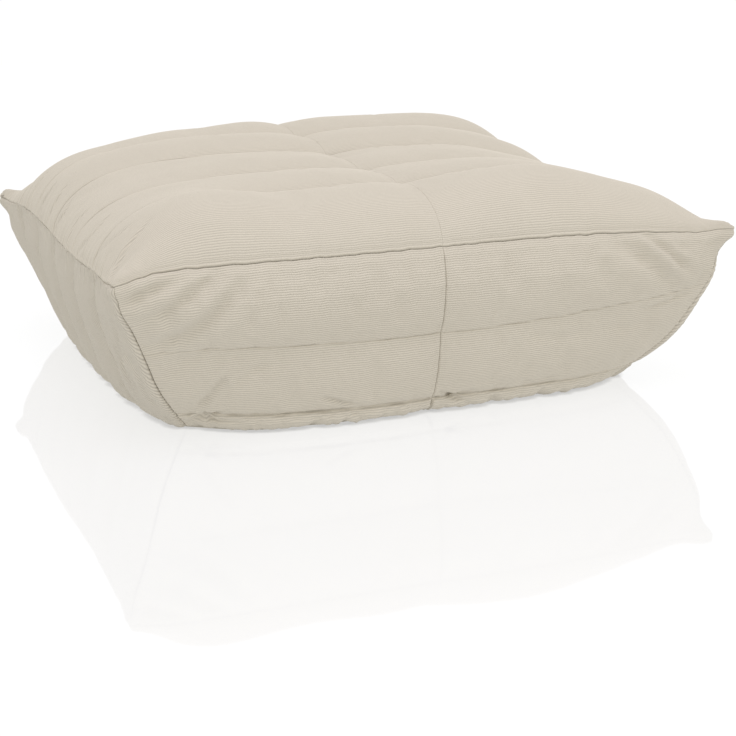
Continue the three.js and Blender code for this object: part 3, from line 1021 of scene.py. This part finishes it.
def corduroy():
    material, tree = new_material("ribbed_corduroy")
    place = add_node(tree, "TexCoord", "Object", {})

    def noise(scale, detail, **more):
        inputs = {"Vector": place, "Scale": scale, "Detail": detail, **more}
        return add_node(tree, "TexNoise", "Fac", inputs)

    def tone_of(key):
        return add_node(tree, "Attribute", "Fac", {}, attribute_name=key)

    def maths(operation, *inputs):
        return add_node(tree, "Math", "Value", dict(enumerate(inputs)), operation=operation)

    patches = noise(FABRIC.patch_scale, 5, Roughness=0.6)
    shades = {"Factor": patches, "A": FABRIC.deep, "B": FABRIC.pale}
    shade = add_node(tree, "Mix", "Result", shades, data_type="RGBA")
    yarn = noise(FABRIC.yarn_scale, 2)
    least, most = FABRIC.flecks
    flecks = {"Value": yarn, "From Min": 0.3, "From Max": 0.7, "To Min": least, "To Max": most}
    fleck = add_node(tree, "MapRange", "Result", flecks)

    upright = maths("ABSOLUTE", maths("SINE", maths("MULTIPLY", tone_of("rib_phase"), math.pi)))
    upright = maths("MULTIPLY", upright, tone_of("rib_drawn"))
    rib = maths("ADD", tone_of("rib"), upright)
    # Painted shade: the colour is darker in the valleys between the ribs, modelled or drawn.
    valley = add_node(tree, "MapRange", "Result", {"Value": rib, "To Min": FABRIC.valley})
    tone = {"Vector": shade, "Scale": maths("MULTIPLY", valley, fleck)}

    drawn_ribs = {"Strength": 1, "Distance": RIB_HEIGHT * MM, "Height": upright}
    ribs = add_node(tree, "Bump", "Normal", drawn_ribs)
    weave = {"Strength": FABRIC.yarn_strength, "Distance": FABRIC.yarn_height, "Height": yarn}
    fill_sockets(tree, tree.nodes["Principled BSDF"], {
        "Base Color": add_node(tree, "VectorMath", "Vector", tone, operation="SCALE"),
        "Normal": add_node(tree, "Bump", "Normal", {**weave, "Normal": ribs}),
        "Roughness": 0.92,
        "Specular IOR Level": 0.25,
        "Sheen Weight": 0.12,
        "Sheen Roughness": 0.45,
        "Sheen Tint": (1.0, 0.97, 0.93, 1),
    })
    return material


# ==== The object ====
relief = settle()
fabric = corduroy()
for panel_name, panel_plan in PANELS.items():
    panel = build_panel(panel_name, panel_plan, relief)
    panel.data.materials.append(fabric)
    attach(panel, "root")
    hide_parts("cushion")

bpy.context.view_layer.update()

# ==== Stage, lights and camera ====
FLOOR_HALF = 9
# How the floor glows, from where it is most hidden to where it is open: a painted contact shadow, dimmer
# near the footstool.
PAINTED_CONTACT_SHADOW = Named(distance=0.007, samples=8, hidden=0.3, open=0.95, least=0.6, most=0.86)
FLOOR_GLOSS = 0.20
# The studio is a little dimmer on its left. LIGHTS: place, target, size, power and colour.
STUDIO_COLOUR, DIM_LEFT, BRIGHT_RIGHT = (1.0, 0.985, 0.965, 1), 0.94, 1.04
LIGHTS = {
    "softbox": ((-0.3, -0.9, 3.0), (0, 0, 0.2), 2.2, 22, (1.0, 0.97, 1.17)),
    "fill": ((1.6, -3.2, 0.9), (0, 0, 0.15), 2.0, 8.0, (1.0, 0.97, 0.94)),
    "left_fill": ((-2.6, -1.6, 0.7), (-0.2, 0, 0.15), 1.2, 1.8, (1.0, 0.93, 0.82)),
}
# The camera fitted to the photo: focal length in the photo's pixels, and degrees down and right.
PHOTO_WIDTH, FOCAL_PIXELS, SENSOR_WIDTH = 736, 1379.8, 36
CAMERA_PLACE, CAMERA_TILT, CAMERA_TURN = (-0.7009, -1.8542, 0.5045), 15.11, 22.40


def white_floor():
    """A white floor that glows a little, less near the footstool as a painted contact shadow, with a faint
    gloss that mirrors what stands on it.
    """
    corners = np.array([(-1, -1, 0), (1, -1, 0), (1, 1, 0), (-1, 1, 0)], float) * FLOOR_HALF
    floor = mesh_object("floor", corners, np.array([(0, 1, 2, 3)]))
    material, tree = new_material("white_gloss")
    hidden = {"Distance": PAINTED_CONTACT_SHADOW.distance}
    # Painted shadow: ambient occlusion dims the floor's glow close to the footstool.
    painted_shadow_occlusion = add_node(tree, "AmbientOcclusion", "AO", hidden, samples=PAINTED_CONTACT_SHADOW.samples)
    matt = tree.nodes["Principled BSDF"]
    fill_sockets(tree, matt, {
        "Base Color": (0.16, 0.16, 0.16, 1),
        "Roughness": 1,
        "Specular IOR Level": 0,
        "Emission Color": (1, 1, 1, 1),
        "Emission Strength": add_node(tree, "MapRange", "Result", {
            "Value": painted_shadow_occlusion,
            "From Min": PAINTED_CONTACT_SHADOW.hidden,
            "From Max": PAINTED_CONTACT_SHADOW.open,
            "To Min": PAINTED_CONTACT_SHADOW.least,
            "To Max": PAINTED_CONTACT_SHADOW.most,
        }),
    })
    gloss = add_node(tree, "BsdfGlossy", "BSDF", {"Color": (0.95, 0.975, 1.0, 1), "Roughness": 0.04})
    layers = {0: FLOOR_GLOSS, 1: matt.outputs["BSDF"], 2: gloss}
    mix = add_node(tree, "MixShader", "Shader", layers)
    fill_sockets(tree, tree.nodes["Material Output"], {"Surface": mix})
    floor.data.materials.append(material)


def white_studio():
    world = bpy.data.worlds.new("white_studio")
    world.use_nodes = True
    tree = world.node_tree
    heading = add_node(tree, "TexCoord", "Generated", {})
    leftwards = add_node(tree, "SeparateXYZ", "X", {"Vector": heading})
    dimmer = {"Value": leftwards, "From Min": -1, "From Max": 0, "To Min": DIM_LEFT, "To Max": BRIGHT_RIGHT}
    strength = add_node(tree, "MapRange", "Result", dimmer)
    fill_sockets(tree, tree.nodes["Background"], {"Color": STUDIO_COLOUR, "Strength": strength})
    bpy.context.scene.world = world


def light(name, place, target, size, power, colour):
    lamp = bpy.data.lights.new(name, "AREA")
    lamp.shape = "DISK"
    lamp.size, lamp.energy, lamp.color = size, power, colour
    thing = add_object(name, lamp)
    thing.location = place
    thing.rotation_euler = (Vector(target) - Vector(place)).to_track_quat("-Z", "Y").to_euler()


def photo_camera():
    data = bpy.data.cameras.new("camera")
    data.lens = SENSOR_WIDTH * FOCAL_PIXELS / PHOTO_WIDTH
    data.sensor_width = SENSOR_WIDTH
    data.clip_end = 60
    camera = add_object("camera", data)
    camera.location = CAMERA_PLACE
    camera.rotation_euler = (math.radians(90 - CAMERA_TILT), 0, math.radians(-CAMERA_TURN))
    bpy.context.scene.camera = camera


white_floor()
white_studio()
for light_name, light_plan in LIGHTS.items():
    light(light_name, *light_plan)
photo_camera()
bpy.context.scene.view_settings.view_transform = "Standard"
bpy.context.scene.view_settings.look = "None"
